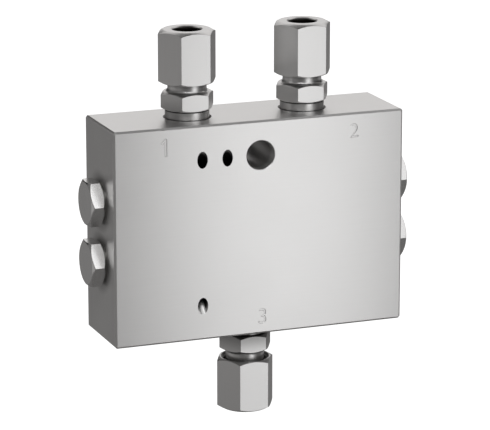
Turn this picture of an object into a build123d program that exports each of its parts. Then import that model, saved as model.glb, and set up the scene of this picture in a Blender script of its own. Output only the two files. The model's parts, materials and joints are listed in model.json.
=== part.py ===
from build123d import *
import math
import os

# Lubrication divider block, in millimetres: X to the right, Y from front to back, Z up.
# The origin is on the mounting hole's axis, in the plane of the back face.

# Block, cut from flat bar
block_length = 70.0
block_depth = 20.0
block_height = 50.0
block_chamfer = 0.45

# Mounting hole for a 6 mm screw. The slanting drillings' mouths lie level with it.
mount_hole_diameter = 6.6
mount_hole_countersink = 0.2
mount_hole_drop = 8.0

# Ports: two outlets on the top face, one inlet under the middle
outlet_offset = 14.0
port_thread_diameter = 10.0
port_thread_depth = 8.5
port_countersink = 0.5
feed_diameter = 3.0

# Spool bores, one above the other along X, with a threaded plug hole at each end
bore_spacing = 14.0
plug_thread_diameter = 8.0
plug_hole_depth = 9.0
plug_countersink = 0.3

# Slanting drillings from the front face: two of them meet behind the bores
drilling_diameter = 2.0
ball_hole_diameter = 2.5
ball_hole_depth = 7.5
inner_drilling_offset = 8.0
meeting_depth = 14.27
ball_interference = 0.02

# Spools
spool_diameter = 6.0
spool_clearance = 0.02
spool_stroke = 6.0
stop_clearance = 0.05
groove_diameter = 4.2
groove_length = 12.5
centre_land_length = 7.0
spool_end_chamfer = 0.4
balance_groove_width = 0.4
balance_groove_depth = 0.2
balance_groove_count = 2

# Screw plugs and their gaskets
plug_hex_across_flats = 10.0
plug_hex_height = 3.1
plug_hex_base_setback = 0.05
plug_hex_top_setback = 0.2
plug_shank_length = 8.5
plug_undercut_diameter = 6.8
plug_undercut_length = 1.2
gasket_width = 0.55
gasket_thickness = 0.5
gasket_clearance = 0.1

# Adapters: stud and collar, hexagon, neck and a threaded spigot for the union nut
adapter_hex_across_flats = 11.0
adapter_hex_height = 4.0
adapter_hex_setback = 0.15
adapter_bore_diameter = 4.0
collar_diameter = 10.15
collar_length = 2.0
collar_chamfer = 0.3
stud_engaged_length = 6.0
stud_clearance = 0.1
spigot_length = 8.3
neck_undercut = 0.5
neck_length = 3.5
neck_fillet = 0.8
neck_land = 0.05

# Union nuts
nut_hex_across_flats = 12.0
nut_height = 12.2
nut_top_setback = 0.55
nut_bottom_setback = 0.2
nut_standoff = 2.0
nut_thread_diameter = 10.0
nut_mouth_chamfer = 0.65
nut_lip_height = 2.7
nut_hole_countersink = 0.5
nut_shoulder_angle = 45.0

# Tube joint: a 6 mm tube, its socket, the sealing cone and the cutting ring
tube_diameter = 6.0
tube_clearance = 0.05
lip_clearance = 0.12
socket_depth = 5.5
cone_mouth_diameter = 7.5
cone_half_angle = 12.0
ring_wall = 0.3
ring_collar_diameter = 8.6
ring_gap = 0.06
ring_tail_gap = 0.1

# Shared details
thread_clearance = 0.05
thread_lead = 0.6
hex_chamfer_angle = 30.0
drill_point_angle = 118.0
overrun = 1.0

# Places worked out from the sizes
block_top = mount_hole_drop
block_bottom = block_top - block_height
block_front = -block_depth
middle_y = -block_depth / 2
middle_z = (block_top + block_bottom) / 2
bore_radius = spool_diameter / 2 + spool_clearance
socket_radius = tube_diameter / 2 + tube_clearance
plug_tip_x = block_length / 2 + gasket_thickness - plug_shank_length
spool_length = 2 * (plug_tip_x - stop_clearance) - spool_stroke
hex_top = collar_length + adapter_hex_height
spigot_top = hex_top + spigot_length
nut_bottom = hex_top + nut_standoff
nut_top = nut_bottom + nut_height
nut_shoulder_top = nut_top - nut_lip_height

bore_levels = {
    "upper": middle_z + bore_spacing / 2,
    "lower": middle_z - bore_spacing / 2,
}
ports = {
    "outlet_left": Pos(-outlet_offset, middle_y, block_top),
    "outlet_right": Pos(outlet_offset, middle_y, block_top),
    "inlet": Pos(0, middle_y, block_bottom) * Rot(180, 0, 0),
}
plug_seats = {
    "left": Pos(-block_length / 2, middle_y, 0) * Rot(0, -90, 0),
    "right": Pos(block_length / 2, middle_y, 0) * Rot(0, 90, 0),
}


def rise(run, half_angle):
    """Height over which a cone with that half angle changes its radius by run."""
    return run / math.tan(math.radians(half_angle))


def turned(points, rounded=None, fillet_radius=0.0):
    """A solid of revolution about Z from (radius, height) points, with one corner rounded."""
    outline = Polyline(*[(radius, 0, height) for radius, height in points], close=True)
    section = make_face(outline)
    if rounded:
        corner = section.vertices().sort_by_distance((rounded[0], 0, rounded[1]))[0]
        section = fillet(corner, fillet_radius)
    return revolve(section, Axis.Z)


def hexagon(across_flats, bottom, top, bottom_setback, top_setback, turn=0.0):
    """A hexagonal prism along Z whose corners are turned away at both ends.

    A setback is how far the flat end stops short of the hexagon's sides.
    """
    corner_radius = across_flats / math.sqrt(3)
    bottom_radius = across_flats / 2 - bottom_setback
    top_radius = across_flats / 2 - top_setback
    slope = math.tan(math.radians(hex_chamfer_angle))
    section = Rot(0, 0, turn) * RegularPolygon(across_flats / 2, 6, major_radius=False)
    prism = Pos(0, 0, bottom) * extrude(section, top - bottom)
    envelope = turned([
        (0, bottom),
        (bottom_radius, bottom),
        (corner_radius, bottom + (corner_radius - bottom_radius) * slope),
        (corner_radius, top - (corner_radius - top_radius) * slope),
        (top_radius, top),
        (0, top),
    ])
    return prism & envelope


def mount_hole():
    """The mounting hole, straight through from the back, countersunk at the front."""
    radius = mount_hole_diameter / 2
    mouth_radius = radius + mount_hole_countersink
    return Rot(90, 0, 0) * turned([
        (0, -overrun),
        (radius, -overrun),
        (radius, block_depth - mount_hole_countersink),
        (mouth_radius, block_depth),
        (mouth_radius, block_depth + overrun),
        (0, block_depth + overrun),
    ])


def port_hole():
    """A threaded port below Z = 0, countersunk, with a drill point at its bottom."""
    radius = port_thread_diameter / 2
    mouth_radius = radius + port_countersink
    point = rise(radius, drill_point_angle / 2)
    return turned([
        (0, overrun),
        (mouth_radius, overrun),
        (mouth_radius, 0),
        (radius, -port_countersink),
        (radius, -port_thread_depth),
        (0, -port_thread_depth - point),
    ])


def feed_channel(port, far_level):
    """The channel that leads on from a port to the level of a bore."""
    start = port.position
    middle = Pos(start.X, start.Y, (start.Z + far_level) / 2)
    return middle * Cylinder(feed_diameter / 2, abs(start.Z - far_level))


def spool_bore(level):
    """A bore through the block along X, opened out at each end for its plug."""
    plug_radius = plug_thread_diameter / 2
    mouth_radius = plug_radius + plug_countersink
    face = block_length / 2
    shoulder = face - plug_hole_depth
    half = [
        (bore_radius, shoulder - rise(plug_radius - bore_radius, drill_point_angle / 2)),
        (plug_radius, shoulder),
        (plug_radius, face - plug_countersink),
        (mouth_radius, face),
        (mouth_radius, face + overrun),
        (0, face + overrun),
    ]
    other_half = [(radius, -height) for radius, height in reversed(half)]
    return Pos(0, middle_y, level) * Rot(0, 90, 0) * turned(other_half + half)


def drilling_places():
    """Each drilling's name, its frame (Z out of the mouth) and its depth."""
    drop = block_height / 2 - mount_hole_drop
    slope = math.atan2(drop, meeting_depth)
    full_depth = math.hypot(drop, meeting_depth)
    bore_depth = block_depth / 2 / math.cos(slope)
    down = Rot(90 - math.degrees(slope), 0, 0)
    up = Rot(90 + math.degrees(slope), 0, 0)
    low_mouth = block_bottom + mount_hole_drop
    return [
        ("upper_outer", Pos(-outlet_offset, block_front, 0) * down, full_depth),
        ("upper_inner", Pos(-inner_drilling_offset, block_front, 0) * down, bore_depth),
        ("lower_outer", Pos(-outlet_offset, block_front, low_mouth) * up, full_depth),
    ]


def ball_seat_depth():
    """Depth of the edge on which a sealing ball seats, where its hole narrows."""
    narrowing = (ball_hole_diameter - drilling_diameter) / 2
    return ball_hole_depth + rise(narrowing, drill_point_angle / 2)


def drilling(depth):
    """A stepped drilling below Z = 0, wider at its mouth where its ball is pressed in."""
    wide = ball_hole_diameter / 2
    narrow = drilling_diameter / 2
    outside = 2 * ball_hole_diameter
    return turned([
        (0, outside),
        (wide, outside),
        (wide, -ball_hole_depth),
        (narrow, -ball_seat_depth()),
        (narrow, -depth),
        (0, -depth - rise(narrow, drill_point_angle / 2)),
    ])


def sealing_ball():
    """A ball pressed into a drilling, down on the edge of the narrow part."""
    radius = ball_hole_diameter / 2 + ball_interference
    height = math.sqrt(radius ** 2 - (drilling_diameter / 2) ** 2)
    return Pos(0, 0, height - ball_seat_depth()) * Sphere(radius)


def block():
    """The drilled block."""
    bar = Pos(0, middle_y, middle_z) * Box(block_length, block_depth, block_height)
    body = chamfer(bar.edges(), block_chamfer)
    body -= mount_hole()
    for port in ports.values():
        body -= port * port_hole()
        body -= feed_channel(port, bore_levels["upper"])
    for level in bore_levels.values():
        body -= spool_bore(level)
    for _, place, depth in drilling_places():
        body -= place * drilling(depth)
    return body


def spool():
    """A spool along Z: three lands, two control grooves and narrow balance grooves."""
    radius = spool_diameter / 2
    groove_start = centre_land_length / 2
    groove_end = groove_start + groove_length
    end = spool_length / 2
    half = [
        (radius, groove_start),
        (groove_diameter / 2, groove_start),
        (groove_diameter / 2, groove_end),
        (radius, groove_end),
    ]
    spacing = (end - groove_end) / (balance_groove_count + 1)
    for number in range(balance_groove_count):
        start = groove_end + (number + 1) * spacing - balance_groove_width / 2
        half += [
            (radius, start),
            (radius - balance_groove_depth, start),
            (radius - balance_groove_depth, start + balance_groove_width),
            (radius, start + balance_groove_width),
        ]
    half += [(radius, end - spool_end_chamfer), (radius - spool_end_chamfer, end), (0, end)]
    other_half = [(r, -height) for r, height in reversed(half)]
    return turned(other_half + half)


def screw_plug():
    """A plug for a spool bore: hexagon head, undercut and threaded shank."""
    radius = plug_thread_diameter / 2 - thread_clearance
    tip = gasket_thickness - plug_shank_length
    undercut = gasket_thickness - plug_undercut_length
    shank = turned([
        (0, gasket_thickness + plug_hex_height / 2),
        (plug_undercut_diameter / 2, gasket_thickness + plug_hex_height / 2),
        (plug_undercut_diameter / 2, undercut),
        (radius, undercut),
        (radius, tip + thread_lead),
        (radius - thread_lead, tip),
        (0, tip),
    ])
    head = hexagon(
        plug_hex_across_flats,
        gasket_thickness,
        gasket_thickness + plug_hex_height,
        plug_hex_base_setback,
        plug_hex_top_setback,
        turn=90,
    )
    return shank + head


def gasket():
    """A flat sealing ring between a plug's head and the block."""
    inner_radius = plug_thread_diameter / 2 + gasket_clearance
    outer_radius = inner_radius + gasket_width
    return turned([
        (inner_radius, 0),
        (outer_radius, 0),
        (outer_radius, gasket_thickness),
        (inner_radius, gasket_thickness),
    ])


def socket_cone_start():
    """Height at which the spigot's sealing cone opens out of the tube socket."""
    return spigot_top - rise(cone_mouth_diameter / 2 - socket_radius, cone_half_angle)


def adapter():
    """A straight adapter: stud below Z = 0, collar, hexagon, neck, spigot, and its bore."""
    stud_radius = port_thread_diameter / 2 - stud_clearance
    collar_radius = collar_diameter / 2
    stud = turned([
        (0, -stud_engaged_length),
        (stud_radius - thread_lead, -stud_engaged_length),
        (stud_radius, -stud_engaged_length + thread_lead),
        (stud_radius, stud_radius - collar_radius),
        (collar_radius, 0),
        (collar_radius, collar_length - collar_chamfer),
        (collar_radius - collar_chamfer, collar_length),
        (collar_radius - collar_chamfer, collar_length + adapter_hex_height / 2),
        (0, collar_length + adapter_hex_height / 2),
    ])
    thread_radius = nut_thread_diameter / 2 - thread_clearance
    neck_radius = thread_radius - neck_undercut
    neck_top = hex_top + neck_length
    foot_radius = neck_radius + neck_fillet + neck_land
    spigot = turned(
        [
            (0, hex_top - neck_fillet),
            (foot_radius, hex_top - neck_fillet),
            (foot_radius, hex_top),
            (neck_radius, hex_top),
            (neck_radius, neck_top),
            (thread_radius, neck_top + neck_undercut),
            (thread_radius, spigot_top - thread_lead),
            (thread_radius - thread_lead, spigot_top),
            (0, spigot_top),
        ],
        rounded=(neck_radius, hex_top),
        fillet_radius=neck_fillet,
    )
    passage = turned([
        (0, -stud_engaged_length - overrun),
        (adapter_bore_diameter / 2, -stud_engaged_length - overrun),
        (adapter_bore_diameter / 2, spigot_top - socket_depth),
        (socket_radius, spigot_top - socket_depth),
        (socket_radius, socket_cone_start()),
        (cone_mouth_diameter / 2, spigot_top),
        (cone_mouth_diameter / 2, spigot_top + overrun),
        (0, spigot_top + overrun),
    ])
    body = hexagon(
        adapter_hex_across_flats,
        collar_length,
        hex_top,
        adapter_hex_setback,
        adapter_hex_setback,
    )
    return stud + body + spigot - passage


def nut_shoulder_radius(height):
    """Radius of the union nut's inner shoulder at that height."""
    lip_radius = tube_diameter / 2 + lip_clearance
    below_lip = nut_shoulder_top - height
    return lip_radius + below_lip * math.tan(math.radians(nut_shoulder_angle))


def nut_shoulder_height(radius):
    """Height at which the union nut's inner shoulder has that radius."""
    return nut_shoulder_top - rise(radius - nut_shoulder_radius(nut_shoulder_top), nut_shoulder_angle)


def union_nut():
    """A union nut: hexagon, thread, the shoulder that drives the ring, and the tube hole."""
    thread_radius = nut_thread_diameter / 2
    lip_radius = nut_shoulder_radius(nut_shoulder_top)
    passage = turned([
        (0, nut_bottom - overrun),
        (thread_radius + nut_mouth_chamfer, nut_bottom - overrun),
        (thread_radius + nut_mouth_chamfer, nut_bottom),
        (thread_radius, nut_bottom + nut_mouth_chamfer),
        (thread_radius, nut_shoulder_height(thread_radius)),
        (lip_radius, nut_shoulder_top),
        (lip_radius, nut_top - nut_hole_countersink),
        (lip_radius + nut_hole_countersink, nut_top),
        (lip_radius + nut_hole_countersink, nut_top + overrun),
        (0, nut_top + overrun),
    ])
    body = hexagon(
        nut_hex_across_flats,
        nut_bottom,
        nut_top,
        nut_bottom_setback,
        nut_top_setback,
    )
    return body - passage


def cutting_ring():
    """A cutting ring between the spigot's cone and the nut's shoulder."""
    nose_radius = socket_radius + ring_wall
    collar_radius = ring_collar_diameter / 2
    nose = socket_cone_start() + rise(ring_wall + ring_gap, cone_half_angle)
    collar = spigot_top + ring_gap
    cone_radius = nose_radius + (collar - nose) * math.tan(math.radians(cone_half_angle))
    tail_shift = ring_tail_gap / math.sin(math.radians(nut_shoulder_angle))
    return turned([
        (socket_radius, nose),
        (nose_radius, nose),
        (cone_radius, collar),
        (collar_radius, collar),
        (collar_radius, nut_shoulder_height(collar_radius) - tail_shift),
        (nose_radius, nut_shoulder_height(nose_radius) - tail_shift),
        (socket_radius, nut_shoulder_height(nose_radius) - tail_shift),
    ])


def pieces():
    """Every piece in its place, by name."""
    made = {"block": block()}
    for name, port in ports.items():
        made[f"adapter_{name}"] = port * adapter()
        made[f"cutting_ring_{name}"] = port * cutting_ring()
        made[f"union_nut_{name}"] = port * union_nut()
    for row, level in bore_levels.items():
        for side, seat in plug_seats.items():
            made[f"plug_{row}_{side}"] = Pos(0, 0, level) * seat * screw_plug()
            made[f"gasket_{row}_{side}"] = Pos(0, 0, level) * seat * gasket()
    rest_shift = {"upper": -spool_stroke / 2, "lower": spool_stroke / 2}
    for row, level in bore_levels.items():
        made[f"spool_{row}"] = Pos(rest_shift[row], middle_y, level) * Rot(0, 90, 0) * spool()
    for name, place, _ in drilling_places():
        made[f"ball_{name}"] = place * sealing_ball()
    return made


os.makedirs("parts", exist_ok=True)
for name, piece in pieces().items():
    export_step(piece, f"parts/{name}.step")
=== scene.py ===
import json
import math

import bpy
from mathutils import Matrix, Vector

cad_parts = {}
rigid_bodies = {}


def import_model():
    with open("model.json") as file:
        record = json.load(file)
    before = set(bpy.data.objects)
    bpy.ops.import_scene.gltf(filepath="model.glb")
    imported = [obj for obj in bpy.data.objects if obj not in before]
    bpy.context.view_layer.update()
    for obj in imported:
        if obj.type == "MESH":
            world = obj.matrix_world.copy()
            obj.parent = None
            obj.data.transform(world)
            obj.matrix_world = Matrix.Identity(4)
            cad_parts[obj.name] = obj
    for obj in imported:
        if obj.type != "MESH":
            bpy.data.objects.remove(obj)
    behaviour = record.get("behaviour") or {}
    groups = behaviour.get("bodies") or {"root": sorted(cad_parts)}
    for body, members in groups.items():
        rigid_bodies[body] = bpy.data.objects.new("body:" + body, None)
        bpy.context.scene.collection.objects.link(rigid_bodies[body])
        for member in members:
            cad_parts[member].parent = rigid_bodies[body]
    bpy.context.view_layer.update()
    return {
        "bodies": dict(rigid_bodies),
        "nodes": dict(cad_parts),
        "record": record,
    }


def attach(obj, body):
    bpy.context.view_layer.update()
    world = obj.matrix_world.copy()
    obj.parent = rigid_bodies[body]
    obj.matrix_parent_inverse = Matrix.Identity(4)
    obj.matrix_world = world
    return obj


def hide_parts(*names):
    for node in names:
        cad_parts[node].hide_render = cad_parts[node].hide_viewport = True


# Lubrication divider block: ground steel block, tube fittings, screw plugs and what is inside.
# Lengths are in metres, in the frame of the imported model.

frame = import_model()
nodes = frame["nodes"]
MM = 0.001

# The block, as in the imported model, with its ports' and spool bores' axes
HALF_LENGTH = 35 * MM
HALF_THICKNESS = 10 * MM
HALF_HEIGHT = 25 * MM
BLOCK_MIDDLE = Vector((0.0, -10 * MM, -17 * MM))
FRONT_Y = -20 * MM
PORT_ASIDE = 14 * MM
BORE_ASIDE = 7 * MM

# Finished shapes
BROKEN_EDGE = 0.06 * MM
BLOCK_BROKEN_EDGE = 0.12 * MM
BROKEN_EDGE_STEPS = 2
BROKEN_ANGLE = math.radians(25)
SMOOTHED_ANGLE = math.radians(32)
FLAT_ANGLE = math.radians(0.5)
FLAT_FACE_WEIGHT = 90
JOINED_WITHIN = 0.001 * MM

# Each port's number, its middle across and up, its height, and how far it leans to the left.
# A slanting dash is the flag of the number 1.
PORT_NUMBERS = (
    ("1", -22.7 * MM, 3.3 * MM, 4.4 * MM, 0),
    ("-", -23.53 * MM, 5.27 * MM, 4.4 * MM, 40),
    ("2", 22.9 * MM, 3.65 * MM, 3.4 * MM, 0),
    ("3", 0.5 * MM, -38.05 * MM, 3.7 * MM, 0),
)
NUMBER_DEPTH = 0.12 * MM
HEIGHT_TO_FONT_SIZE = 1 / 0.72

# Surfaces: how fine the noise of marks and of colour clouds is, what share each has in the
# colour, how much both change the roughness, and how strong the marks' bump is
MARKS_PER_METRE = 2500
MARKS_PER_METRE_ALONG = 60
MARKS_NOISE_ROUGHNESS = 0.6
CLOUDS_PER_METRE = 120
NOISE_DETAIL = 3.0
CLOUDS_IN_COLOUR = 0.6
MARKS_IN_COLOUR = 0.4
UNEVENNESS = 0.05
MARKS_STRENGTH = 0.25

# How much painted shade darkens the metal, from zero to one, and its colour: the shade of holes,
# gaps and places under other parts
PAINTED_SHADE = (0.03, 0.028, 0.026)
SHADE_IN_MOUNTING_HOLE = 0.42
SHADE_IN_DRILLINGS = 0.9
SHADE_IN_PORT_MOUTHS = 0.9
SHADE_ROUND_PLUGS = 0.35
SHADE_UNDER_HEXAGON = 0.85
SHADE_ON_NECK = 0.26
SHADE_UNDER_BLOCK = 0.6
SHADE_IN_NUT_MOUTH = 0.5
SAWN_ENDS_ROUGHER = 0.2
MOUNTING_HOLE_ROUGHER = 0.1

# Camera, at the photograph's place
CAMERA_PLACE = Vector((-0.23703, -0.62465, 0.15341))
CAMERA_AIM = Vector((0.34847, 0.90349, -0.24954))
CAMERA_LENS_MM = 217.3
CAMERA_SENSOR_MM = 36.0
CAMERA_NEAREST = 0.01

# Floor, lamp and white surroundings
FLOOR_HEIGHT = -0.30
FLOOR_SIZE = 8
FLOOR_DARK = (0.80, 0.80, 0.80)
FLOOR_LIGHT = (0.84, 0.84, 0.84)
FLOOR_CLOUDS_PER_METRE = 8
FLOOR_ROUGHNESS = 0.7
FLOOR_SHOWN = 0.62
SKY_LIGHT = 0.6
SKY_SHOWN = 0.4
LAMP_PLACE = (0.35, -0.70, 0.9)
LAMP_SIZE = 0.5
LAMP_POWER = 1.0

# Cards that only reflections see. Eight headings of grey cards stand round the block in four
# rows, and one card lies over it and one under it. In front stand a narrow softbox in three
# parts and, higher up, two wide ones. Heading 0 is in front of the block and 90 to its right.
WHITE = (1.0, 1.0, 1.0)
WARM = (1.014, 0.998, 0.988)
RING_DISTANCE = 0.40
RING_WIDTH = 0.34
RING_LEVELS = (-0.25, 0.0, 0.25, 0.50, 0.78)
# Heading, and the greys from the lowest row to the highest
RING = (
    (21, 0.18, 0.44, 0.51, 0.43),
    (66, 0.09, 0.00, 0.32, 0.30),
    (111, 0.28, 0.00, 0.80, 0.75),
    (156, 0.15, 0.77, 1.04, 0.75),
    (201, 0.19, 0.02, 0.71, 0.64),
    (246, 0.32, 0.16, 0.11, 0.36),
    (291, 0.23, 0.07, 0.33, 0.29),
    (336, 0.12, 0.07, 0.86, 0.53),
)
LEVEL_CARD_SIZE = 0.85
# Height and grey
LOW_CARD = (-0.22, 0.14)
HIGH_CARD = (0.78, 0.03)
SOFTBOX_HEADING = 21
SOFTBOX_DISTANCE = 0.16
SOFTBOX_ASIDE = 2 * MM
SOFTBOX_WIDTH = 0.068
SOFTBOX_LEVELS = (-0.25, -0.09, 0.0, 0.25)
SOFTBOX_GREYS = (1.04, 1.35, 1.21)
UPPER_SOFTBOX_ELEVATION = math.radians(47)
UPPER_SOFTBOX_DISTANCE = 0.36
UPPER_SOFTBOX_SIZE = (0.21, 0.18)
# Heading and grey
UPPER_SOFTBOXES = ((-22, 2.05), (27, 0.96))


class Wire:
    """A shader socket that can be used in sums."""

    def __init__(self, finish, socket):
        self.finish = finish
        self.socket = socket

    def __add__(self, other):
        return self.finish.sum("ADD", self, other)

    def __sub__(self, other):
        return self.finish.sum("SUBTRACT", self, other)

    def __rsub__(self, other):
        return self.finish.sum("SUBTRACT", other, self)

    def __mul__(self, other):
        return self.finish.sum("MULTIPLY", self, other)

    def __pow__(self, other):
        return self.finish.sum("POWER", self, other)

    def __abs__(self):
        return self.finish.sum("ABSOLUTE", self, 0.0)

    __radd__ = __add__
    __rmul__ = __mul__


class Finish:
    """A node tree under construction, for a material or for the world."""

    def __init__(self, owner):
        owner.use_nodes = True
        self.tree = owner.node_tree
        self.tree.nodes.clear()

    def node(self, kind, settings=None, inputs=None, output=0):
        """Adds a node, sets it up, then fills its sockets with values or links."""
        made = self.tree.nodes.new(kind)
        for name, value in (settings or {}).items():
            setattr(made, name, value)
        for name, value in (inputs or {}).items():
            socket = made.inputs[name]
            if isinstance(value, Wire):
                self.tree.links.new(value.socket, socket)
            else:
                socket.default_value = value
        return Wire(self, made.outputs[output]) if made.outputs else made

    def sum(self, operation, first, second):
        """The result of one Math node."""
        return self.node("ShaderNodeMath", {"operation": operation}, {0: first, 1: second})

    def smallest(self, first, *others):
        """The least of some values."""
        for other in others:
            first = self.sum("MINIMUM", first, other)
        return first

    def largest(self, first, *others):
        """The greatest of some values."""
        for other in others:
            first = self.sum("MAXIMUM", first, other)
        return first

    def rise(self, length, start, end):
        """Rises smoothly from zero to one as a length goes from start to end, in millimetres."""
        settings = {"interpolation_type": "SMOOTHSTEP"}
        inputs = {"Value": length, "From Min": start * MM, "From Max": end * MM}
        return self.node("ShaderNodeMapRange", settings, inputs)

    def fall(self, length, start, end):
        """Falls smoothly from one to zero as a length goes from start to end, in millimetres."""
        return 1 - self.rise(length, start, end)

    def band(self, length, start, full, fading, end):
        """Rises from start to full and falls from fading to end, in millimetres."""
        return self.rise(length, start, full) * self.fall(length, fading, end)

    def direct_ray(self):
        """One for what the camera sees, straight or in a reflection, zero for other light."""
        rays = [self.node("ShaderNodeLightPath", output=name)
                for name in ("Is Camera Ray", "Is Glossy Ray", "Is Transmission Ray")]
        return self.largest(*rays)

    def blend(self, factor, first, second):
        """A colour between two colours or colour wires."""
        settings = {"data_type": "RGBA"}
        inputs = {"Factor": factor, 6: first, 7: second}
        return self.node("ShaderNodeMix", settings, inputs, output=2)

    def tint(self, factor, low, high):
        """A colour between two colours, given as red, green and blue."""
        return self.blend(factor, (*low, 1), (*high, 1))

    def coordinates(self):
        """The place's X, Y and Z, in metres."""
        here = self.node("ShaderNodeTexCoord", output="Object")
        return [self.node("ShaderNodeSeparateXYZ", {}, {0: here}, output=axis) for axis in "XYZ"]

    def noise(self, cells, detail=2.0, roughness=0.5):
        """Noise of that many cells per metre along X, Y and Z."""
        here = self.node("ShaderNodeTexCoord", output="Object")
        place = self.node("ShaderNodeMapping", {}, {"Vector": here, "Scale": cells})
        inputs = {"Vector": place, "Scale": 1.0, "Detail": detail, "Roughness": roughness}
        return self.node("ShaderNodeTexNoise", {}, inputs)

    def rings(self, radius, along):
        """Fine rings round an axis, from the distance to it and the place along it."""
        place = self.node("ShaderNodeCombineXYZ", {}, {"X": radius, "Y": along})
        inputs = {"Vector": place, "Scale": MARKS_PER_METRE, "Detail": NOISE_DETAIL,
                  "Roughness": MARKS_NOISE_ROUGHNESS}
        return self.node("ShaderNodeTexNoise", {}, inputs)


def from_port(finish, x, y, z):
    """Distance from the nearest port's axis: two ports on the top, one under the middle."""
    upper = finish.rise(z, -20, -14)
    aside = abs(x) + upper * (abs(abs(x) - PORT_ASIDE) - abs(x))
    forward = y - BLOCK_MIDDLE.y
    return (aside * aside + forward * forward) ** 0.5


def from_bore(finish, y, z):
    """Distance from the nearest spool bore's axis."""
    upward = abs(z - BLOCK_MIDDLE.z) - BORE_ASIDE
    forward = y - BLOCK_MIDDLE.y
    return (upward * upward + forward * forward) ** 0.5


def block_places(finish):
    """How much painted shade the block has at a place, from zero to one, and how much rougher than
    its faces.
    """
    x, y, z = finish.coordinates()
    from_ends = HALF_LENGTH - abs(x)
    from_front_or_back = HALF_THICKNESS - abs(y - BLOCK_MIDDLE.y)
    from_top_or_bottom = HALF_HEIGHT - abs(z - BLOCK_MIDDLE.z)
    depth = finish.smallest(from_ends, from_front_or_back, from_top_or_bottom)

    # Painted shade in the holes: the mounting hole goes grey inwards and all other holes black,
    # but the lower drilling's floor, which the light reaches, stays unshaded for the first 3 mm.
    outside_mounting = finish.rise((x * x + z * z) ** 0.5, 3.6, 4)
    mounting = finish.rise(depth, 1, 3) * SHADE_IN_MOUNTING_HOLE
    lit_floor = finish.fall(z, -30, -25) * finish.fall(abs(x + PORT_ASIDE), 0.55, 0.85)
    drillings = finish.rise(depth - lit_floor * (3 * MM), 0.25, 0.8)
    drillings = drillings * outside_mounting * SHADE_IN_DRILLINGS

    # Painted shade lies round the fittings' feet in the port mouths and round the plugs' heads.
    port_mouths = finish.fall(from_port(finish, x, y, z), 5.5, 5.55)
    port_mouths = port_mouths * finish.fall(from_top_or_bottom, 1, 2) * SHADE_IN_PORT_MOUTHS
    sawn_ends = finish.fall(from_ends, 0.1, 0.4)
    shade_round_heads = sawn_ends * finish.fall(from_bore(finish, y, z), 5, 8) * SHADE_ROUND_PLUGS

    in_mounting = finish.rise(depth, 0.25, 0.5) * (1 - outside_mounting)
    rougher = sawn_ends * SAWN_ENDS_ROUGHER + in_mounting * MOUNTING_HOLE_ROUGHER
    return finish.largest(mounting, drillings, port_mouths, shade_round_heads), rougher


def fitting_places(finish):
    """How much painted shade a fitting has at a place, from zero to one, and how much rougher than
    its faces.
    """
    x, y, z = finish.coordinates()
    radius = from_port(finish, x, y, z)
    height = abs(z - BLOCK_MIDDLE.z) - HALF_HEIGHT
    at_inlet = finish.fall(z, -42, -41)
    # Painted shade: black tube hole, dark line under the hexagon, darker neck, and darker inlet
    # adapter and nut mouth under the block
    tube_hole = finish.fall(radius, 3.3, 3.42) * finish.fall(height, 19.95, 20.05)
    under_hexagon = finish.band(height, 1.55, 1.8, 2, 2.05) * finish.fall(radius, 5.1, 5.2)
    neck = finish.band(height, 7.1, 7.5, 12, 13) * finish.fall(radius, 5.3, 5.6)
    under_block = finish.fall(height, 1.5, 7) * at_inlet
    nut_mouth = finish.band(height, 7.6, 7.9, 8.3, 8.8) * finish.band(radius, 4.7, 4.9, 5.6, 5.7)
    shade_amount = finish.largest(tube_hole, neck * SHADE_ON_NECK, under_block * SHADE_UNDER_BLOCK,
                          under_hexagon * SHADE_UNDER_HEXAGON,
                          nut_mouth * at_inlet * SHADE_IN_NUT_MOUTH)
    return shade_amount, 0.0


def port_rings(finish):
    """Turning marks round the ports' axes."""
    x, y, z = finish.coordinates()
    return finish.rings(from_port(finish, x, y, z), z)


def bore_rings(finish):
    """Turning marks round the spool bores' axes."""
    x, y, z = finish.coordinates()
    return finish.rings(from_bore(finish, y, z), x)


def ground_lines(finish):
    """Lines ground along the block."""
    cells = (MARKS_PER_METRE_ALONG, MARKS_PER_METRE, MARKS_PER_METRE)
    return finish.noise(cells, NOISE_DETAIL, MARKS_NOISE_ROUGHNESS)


def metal(name, dark, light, roughness, marks, marks_depth, places=None):
    """A procedural bare metal: colour clouds, marks in roughness and bump, painted shade at dark
    places.
    """
    material = bpy.data.materials.new(name)
    finish = Finish(material)
    clouds = finish.noise((CLOUDS_PER_METRE,) * 3, NOISE_DETAIL)
    lines = marks(finish)
    colour = finish.tint(clouds * CLOUDS_IN_COLOUR + lines * MARKS_IN_COLOUR, dark, light)
    rough = roughness + (lines - 0.5) * UNEVENNESS + (clouds - 0.5) * UNEVENNESS
    if places:
        shade_amount, rougher = places(finish)
        # Painted shade: the colour goes towards near black where a place lies in shade
        colour = finish.blend(shade_amount, colour, (*PAINTED_SHADE, 1))
        rough = rough + rougher
    bump = finish.node("ShaderNodeBump", {}, {
        "Strength": MARKS_STRENGTH, "Distance": marks_depth, "Height": lines})
    surface = finish.node("ShaderNodeBsdfPrincipled", {}, {
        "Base Color": colour, "Metallic": 1.0, "Roughness": rough, "Normal": bump})
    finish.node("ShaderNodeOutputMaterial", {}, {"Surface": surface})
    return material
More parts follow.
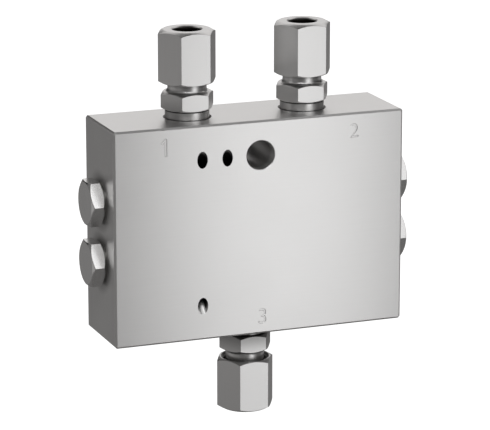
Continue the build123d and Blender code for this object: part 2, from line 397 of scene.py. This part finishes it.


# Each slot's metal: its name, darkest and lightest colour, roughness, marks and their depth,
# and which places get painted shade
METALS = {
    "block_steel": metal("ground_block_steel", (0.70, 0.695, 0.69), (0.78, 0.775, 0.77), 0.34,
                         ground_lines, 0.004 * MM, block_places),
    "fitting_steel": metal("turned_fitting_steel", (0.67, 0.665, 0.66), (0.745, 0.74, 0.735), 0.32,
                           port_rings, 0.006 * MM, fitting_places),
    "plug_steel": metal("turned_plug_steel", (0.82, 0.815, 0.81), (0.89, 0.885, 0.88), 0.22,
                        bore_rings, 0.004 * MM),
    "ring_steel": metal("hardened_ring_steel", (0.60, 0.58, 0.54), (0.70, 0.68, 0.64), 0.28,
                        port_rings, 0.003 * MM),
    # The gasket's grey is its own tone, kept darker as painted shade of the gap under the plugs'
    # heads
    "gasket_metal": metal("shade_darkened_gasket_metal", (0.34, 0.335, 0.325), (0.42, 0.415, 0.40), 0.26,
                          bore_rings, 0.004 * MM),
    "spool_steel": metal("lapped_spool_steel", (0.70, 0.70, 0.70), (0.76, 0.76, 0.76), 0.12,
                         bore_rings, 0.001 * MM),
    "ball_steel": metal("polished_ball_steel", (0.74, 0.74, 0.74), (0.80, 0.80, 0.80), 0.06,
                        ground_lines, 0.0005 * MM, block_places),
}


def select_only(made):
    """Selects one object and makes it the active one."""
    bpy.ops.object.select_all(action="DESELECT")
    made.select_set(True)
    bpy.context.view_layer.objects.active = made


def whole_copy(node, name):
    """A copy of a CAD node's shape, with its triangles joined up again."""
    made = bpy.data.objects.new(name, nodes[node].data.copy())
    made.data.name = name
    bpy.context.collection.objects.link(made)
    select_only(made)
    bpy.ops.mesh.customdata_custom_splitnormals_clear()
    bpy.ops.object.mode_set(mode="EDIT")
    bpy.ops.mesh.select_all(action="SELECT")
    bpy.ops.mesh.remove_doubles(threshold=JOINED_WITHIN)
    bpy.ops.mesh.dissolve_limited(angle_limit=FLAT_ANGLE)
    bpy.ops.object.mode_set(mode="OBJECT")
    return made


def break_edges(made, width):
    """Takes the sharpness off every edge, as tumbling and plating do."""
    select_only(made)
    bevel = made.modifiers.new("broken_edges", "BEVEL")
    bevel.width = width
    bevel.segments = BROKEN_EDGE_STEPS
    bevel.limit_method = "ANGLE"
    bevel.angle_limit = BROKEN_ANGLE
    bevel.use_clamp_overlap = True
    bpy.ops.object.modifier_apply(modifier="broken_edges")


def settle(made, node, body, slot):
    """Smooths a finished piece's round faces, gives it its slot's metal and its body, and hides
    the CAD node.
    """
    select_only(made)
    bpy.ops.object.shade_smooth_by_angle(angle=SMOOTHED_ANGLE)
    weighted = made.modifiers.new("flat_faces_first", "WEIGHTED_NORMAL")
    weighted.weight = FLAT_FACE_WEIGHT
    weighted.keep_sharp = True
    bpy.ops.object.modifier_apply(modifier="flat_faces_first")
    made.data.materials.clear()
    made.data.materials.append(METALS[slot])
    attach(made, body)
    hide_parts(node)


def engraved_number(words, middle_x, middle_z, height, lean):
    """A cutter for a number in the front face: a wedge of a tool's width along each stroke."""
    bpy.ops.object.select_all(action="DESELECT")
    bpy.ops.object.text_add()
    cutter = bpy.context.object
    cutter.name = f"number_{words}_cutter"
    cutter.data.body = words
    cutter.data.align_x = "CENTER"
    cutter.data.align_y = "CENTER"
    cutter.data.size = height * HEIGHT_TO_FONT_SIZE
    cutter.data.offset = -NUMBER_DEPTH
    cutter.data.bevel_depth = NUMBER_DEPTH
    cutter.data.bevel_resolution = 0
    bpy.ops.object.convert(target="MESH")
    cutter.rotation_euler = (math.pi / 2, -math.radians(lean), 0)
    cutter.location = (middle_x, FRONT_Y, middle_z)
    bpy.ops.object.transform_apply(location=True, rotation=True, scale=True)
    bpy.ops.object.mode_set(mode="EDIT")
    bpy.ops.mesh.select_all(action="SELECT")
    bpy.ops.mesh.remove_doubles(threshold=JOINED_WITHIN)
    bpy.ops.mesh.normals_make_consistent(inside=False)
    bpy.ops.object.mode_set(mode="OBJECT")
    return cutter


def cut(made, cutter):
    """Cuts one closed shape out of another and throws the cutter away."""
    select_only(made)
    boolean = made.modifiers.new("cut", "BOOLEAN")
    boolean.operation = "DIFFERENCE"
    boolean.solver = "EXACT"
    boolean.object = cutter
    bpy.ops.object.modifier_apply(modifier="cut")
    bpy.data.objects.remove(cutter)


def drilled_block():
    """The block, with its ports numbered."""
    made = whole_copy("block", "drilled_block")
    break_edges(made, BLOCK_BROKEN_EDGE)
    for number in PORT_NUMBERS:
        cut(made, engraved_number(*number))
    settle(made, "block", "root", "block_steel")


def turned_pieces():
    """Nuts, adapters and plugs, with their edges broken."""
    for part in frame["record"]["subparts"]:
        node = part["node"]
        if node.startswith(("union_nut", "adapter", "plug")):
            made = whole_copy(node, node + "_finished")
            break_edges(made, BROKEN_EDGE)
            body = node if node in frame["bodies"] else "root"
            settle(made, node, body, part["material_slot"])


def stage_plane(name, place, turn, size, material):
    """A flat piece of the studio."""
    bpy.ops.object.select_all(action="DESELECT")
    bpy.ops.mesh.primitive_plane_add(size=1.0, location=place, rotation=turn)
    made = bpy.context.object
    made.name = name
    made.scale = (*size, 1.0)
    made.data.materials.append(material)
    return made


def card(name, place, turn, size, strength, colour):
    """A glowing card that nothing but reflections sees."""
    material = bpy.data.materials.new(name + "_grey")
    finish = Finish(material)
    light = finish.node("ShaderNodeEmission", {}, {"Color": (*colour, 1), "Strength": strength})
    finish.node("ShaderNodeOutputMaterial", {}, {"Surface": light})
    made = stage_plane(name, place, turn, size, material)
    made.visible_camera = False
    made.visible_diffuse = False
    made.visible_shadow = False
    made.visible_transmission = False


def upright_card(name, heading, distance, width, low, high, strength, colour=WARM, aside=0.0):
    """A card that stands round the block, from one height to another."""
    angle = math.radians(heading)
    away = Vector((math.sin(angle), -math.cos(angle), 0))
    across = Vector((math.cos(angle), math.sin(angle), 0))
    place = BLOCK_MIDDLE + away * distance + across * aside
    place.z = (low + high) / 2
    card(name, place, (math.pi / 2, 0, angle), (width, high - low), strength, colour)


def level_card(name, height, strength):
    """A card that lies level over or under the block."""
    place = (BLOCK_MIDDLE.x, BLOCK_MIDDLE.y, height)
    card(name, place, (0, 0, 0), (LEVEL_CARD_SIZE, LEVEL_CARD_SIZE), strength, WARM)


def upper_softbox(name, heading, strength):
    """A softbox above the block's front, square on to it."""
    level = UPPER_SOFTBOX_ELEVATION
    angle = math.radians(heading)
    away = Vector((math.sin(angle) * math.cos(level), -math.cos(angle) * math.cos(level),
                   math.sin(level)))
    place = BLOCK_MIDDLE + away * UPPER_SOFTBOX_DISTANCE
    card(name, place, (math.pi / 2 - level, 0, angle), UPPER_SOFTBOX_SIZE, strength, WHITE)


def backdrop():
    """A white world and a pale floor that keeps the block's shadow."""
    world = bpy.data.worlds.new("studio_white")
    bpy.context.scene.world = world
    sky = Finish(world)
    strength = SKY_LIGHT + sky.direct_ray() * SKY_SHOWN
    white = sky.node("ShaderNodeBackground", {}, {"Color": (*WHITE, 1), "Strength": strength})
    sky.node("ShaderNodeOutputWorld", {}, {"Surface": white})

    pale = bpy.data.materials.new("pale_floor")
    finish = Finish(pale)
    clouds = finish.noise((FLOOR_CLOUDS_PER_METRE,) * 3)
    colour = finish.tint(clouds, FLOOR_DARK, FLOOR_LIGHT)
    matt = finish.node("ShaderNodeBsdfPrincipled", {}, {
        "Base Color": colour, "Roughness": FLOOR_ROUGHNESS})
    strength = finish.direct_ray() * FLOOR_SHOWN
    shown = finish.node("ShaderNodeEmission", {}, {"Strength": strength})
    both = finish.node("ShaderNodeAddShader", {}, {0: matt, 1: shown})
    finish.node("ShaderNodeOutputMaterial", {}, {"Surface": both})
    stage_plane("floor", (0, 0, FLOOR_HEIGHT), (0, 0, 0), (FLOOR_SIZE, FLOOR_SIZE), pale)


def cards():
    """The softboxes in front, the ring of grey cards, and the cards over and under the block."""
    for row, grey in enumerate(SOFTBOX_GREYS):
        low, high = SOFTBOX_LEVELS[row:row + 2]
        upright_card(f"softbox_{row}", SOFTBOX_HEADING, SOFTBOX_DISTANCE, SOFTBOX_WIDTH,
                     low, high, grey, WHITE, SOFTBOX_ASIDE)
    for side, (heading, grey) in enumerate(UPPER_SOFTBOXES):
        upper_softbox(f"upper_softbox_{side}", heading, grey)
    for heading, *greys in RING:
        for row, grey in enumerate(greys):
            low, high = RING_LEVELS[row:row + 2]
            name = f"ring_card_{heading}_{row}"
            upright_card(name, heading, RING_DISTANCE, RING_WIDTH, low, high, grey)
    level_card("low_card", *LOW_CARD)
    level_card("high_card", *HIGH_CARD)


def lamp_and_camera():
    """The lamp that throws the block's shadow, and the photograph's camera."""
    bpy.ops.object.light_add(type="AREA", location=LAMP_PLACE)
    lamp = bpy.context.object
    lamp.name = "key_lamp"
    lamp.data.size = LAMP_SIZE
    lamp.data.energy = LAMP_POWER
    lamp.visible_camera = False
    lamp.visible_glossy = False
    lamp.rotation_euler = (lamp.location - BLOCK_MIDDLE).to_track_quat("Z", "Y").to_euler()

    bpy.ops.object.camera_add(location=CAMERA_PLACE)
    camera = bpy.context.object
    camera.rotation_euler = CAMERA_AIM.to_track_quat("-Z", "Y").to_euler()
    camera.data.sensor_width = CAMERA_SENSOR_MM
    camera.data.lens = CAMERA_LENS_MM
    camera.data.clip_start = CAMERA_NEAREST
    bpy.context.scene.camera = camera


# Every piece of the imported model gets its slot's metal.
for part in frame["record"]["subparts"]:
    owner = nodes[part["node"]]
    owner.data.materials.clear()
    owner.data.materials.append(METALS[part["material_slot"]])

drilled_block()
turned_pieces()

bpy.context.scene.view_settings.view_transform = "Standard"
backdrop()
cards()
lamp_and_camera()
